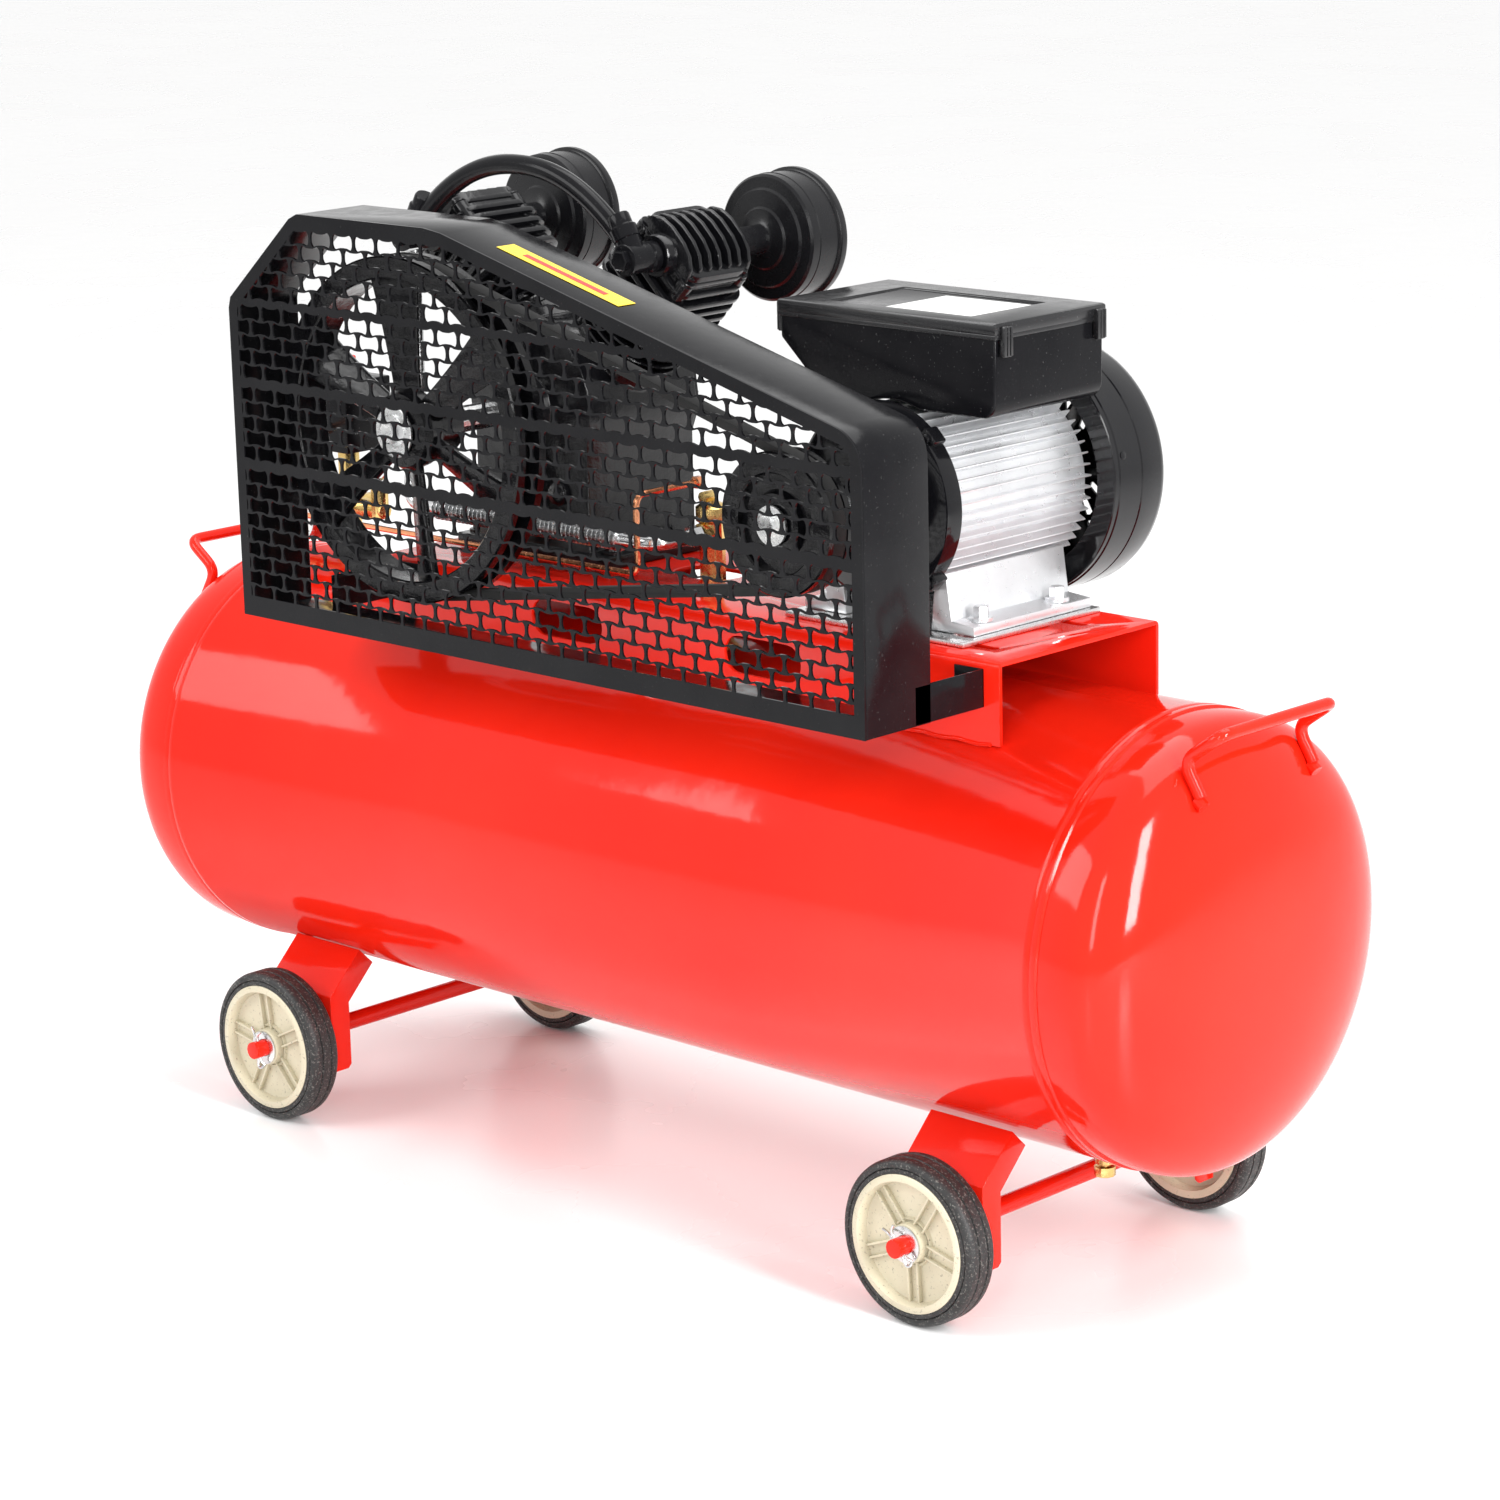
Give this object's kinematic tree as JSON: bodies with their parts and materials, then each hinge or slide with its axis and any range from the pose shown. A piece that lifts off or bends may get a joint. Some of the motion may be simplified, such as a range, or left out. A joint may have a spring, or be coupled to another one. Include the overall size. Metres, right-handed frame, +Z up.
{
  "type": "air compressor",
  "caption": "Wheeled piston air compressor: a belt-driven V-twin pump and electric motor on a platform over a horizontal tank, with a mesh belt guard.",
  "frame": {"origin": "centre of the object's box at floor level, under the tyres", "axes": "+X along the tank toward the end with the motor, -Y toward the belt guard's mesh, +Z up"},
  "size_m": [1.3408, 0.4808, 0.9564],
  "materials": {
    "red_paint": "gloss red enamel on steel",
    "cream_plastic": "satin moulded cream plastic",
    "rubber": "solid black rubber with a moulded tread",
    "zinc": "zinc plated steel",
    "black_paint": "satin black powder coat",
    "cast_black": "cast iron under glossy black paint",
    "steel": "bare steel",
    "belt_rubber": "ribbed black belt rubber",
    "aluminium": "die cast aluminium, satin",
    "winding": "lacquered copper winding in a laminated core",
    "black_plastic": "moulded black plastic",
    "brass": "machined brass",
    "copper": "drawn copper tube",
    "red_plastic": "moulded red plastic"
  },
  "bodies": {
    "tank": {"tank_shell": "red_paint", "platform": "red_paint", "handle_left": "red_paint", "handle_right": "red_paint", "undercarriage_left": "red_paint", "undercarriage_right": "red_paint", "retainer_front_left": "zinc", "retainer_front_right": "zinc", "retainer_rear_left": "zinc", "retainer_rear_right": "zinc", "base_plate": "zinc", "guard_shell": "black_paint", "guard_mesh": "black_paint", "filter_left": "black_paint", "filter_right": "black_paint", "link_pipe": "black_paint", "end_shield": "black_paint", "crankcase": "cast_black", "bearing_cover": "cast_black", "cylinder_left": "cast_black", "cylinder_right": "cast_black", "head_left": "cast_black", "head_right": "cast_black", "discharge_tube": "steel", "pressure_gauge": "steel", "drive_belt": "belt_rubber", "motor_housing": "aluminium", "stator": "winding", "fan_cover": "black_plastic", "terminal_box": "black_plastic", "box_lid": "black_plastic", "pressure_switch": "black_plastic", "check_valve": "brass", "manifold": "brass", "outlet_tap": "brass", "safety_valve": "brass", "drain_valve": "brass", "unloader_tube": "copper"},
    "wheel_front_left": {"hub_front_left": "cream_plastic", "tyre_front_left": "rubber"},
    "wheel_front_right": {"hub_front_right": "cream_plastic", "tyre_front_right": "rubber"},
    "wheel_rear_left": {"hub_rear_left": "cream_plastic", "tyre_rear_left": "rubber"},
    "wheel_rear_right": {"hub_rear_right": "cream_plastic", "tyre_rear_right": "rubber"},
    "crankset": {"crankshaft": "steel", "flywheel": "cast_black", "flywheel_bolt": "zinc"},
    "rotor": {"motor_rotor": "zinc", "motor_pulley": "cast_black", "motor_fan": "black_plastic"},
    "piston_left_set": {"piston_left": "aluminium", "rod_left": "aluminium"},
    "piston_right_set": {"piston_right": "aluminium", "rod_right": "aluminium"},
    "button": {"switch_button": "red_plastic"},
    "lever": {"tap_lever": "red_plastic"},
    "ring": {"safety_ring": "steel"},
    "drain": {"drain_screw": "brass"}
  },
  "joints": [
    {"name": "wheel_front_left_spin", "type": "hinge", "parent": "tank", "child": "wheel_front_left", "pos_m": [-0.4261, -0.1742, 0.075], "axis": [0, 1, 0], "continuous": true},
    {"name": "wheel_front_right_spin", "type": "hinge", "parent": "tank", "child": "wheel_front_right", "pos_m": [0.4259, -0.1742, 0.075], "axis": [0, 1, 0], "continuous": true},
    {"name": "wheel_rear_left_spin", "type": "hinge", "parent": "tank", "child": "wheel_rear_left", "pos_m": [-0.4261, 0.208, 0.075], "axis": [0, 1, 0], "continuous": true},
    {"name": "wheel_rear_right_spin", "type": "hinge", "parent": "tank", "child": "wheel_rear_right", "pos_m": [0.4259, 0.208, 0.075], "axis": [0, 1, 0], "continuous": true},
    {"name": "crank_spin", "type": "hinge", "parent": "tank", "child": "crankset", "pos_m": [-0.1871, 0.0469, 0.7185], "axis": [0, 1, 0], "continuous": true},
    {"name": "motor_spin", "type": "hinge", "parent": "tank", "child": "rotor", "pos_m": [0.2869, 0.0169, 0.6875], "axis": [0, 1, 0], "continuous": true},
    {"name": "piston_left_stroke", "type": "slide", "parent": "tank", "child": "piston_left_set", "axis": [-0.7071, 0, 0.7071], "range_m": [-0.0225, 0.0225]},
    {"name": "piston_right_stroke", "type": "slide", "parent": "tank", "child": "piston_right_set", "axis": [0.7071, 0, 0.7071], "range_m": [-0.0225, 0.0225]},
    {"name": "switch_button_press", "type": "slide", "parent": "tank", "child": "button", "axis": [0, 0, 1], "range_m": [-0.006, 0]},
    {"name": "tap_lever_turn", "type": "hinge", "parent": "tank", "child": "lever", "pos_m": [-0.5514, 0.0169, 0.599], "axis": [0, 0, 1], "range_deg": [0, 90]},
    {"name": "safety_ring_pull", "type": "slide", "parent": "tank", "child": "ring", "axis": [0, 0, 1], "range_m": [0, 0.004], "stiffness_N_per_m": 1500, "springref_m": -0.001},
    {"name": "drain_screw_turn", "type": "hinge", "parent": "tank", "child": "drain", "pos_m": [0.4769, 0.0169, 0.098], "axis": [0, 0, 1], "range_deg": [0, 360]}
  ],
  "couplings": [
    {"joint": "motor_spin", "follows": "crank_spin", "ratio": 2.7133}
  ]
}
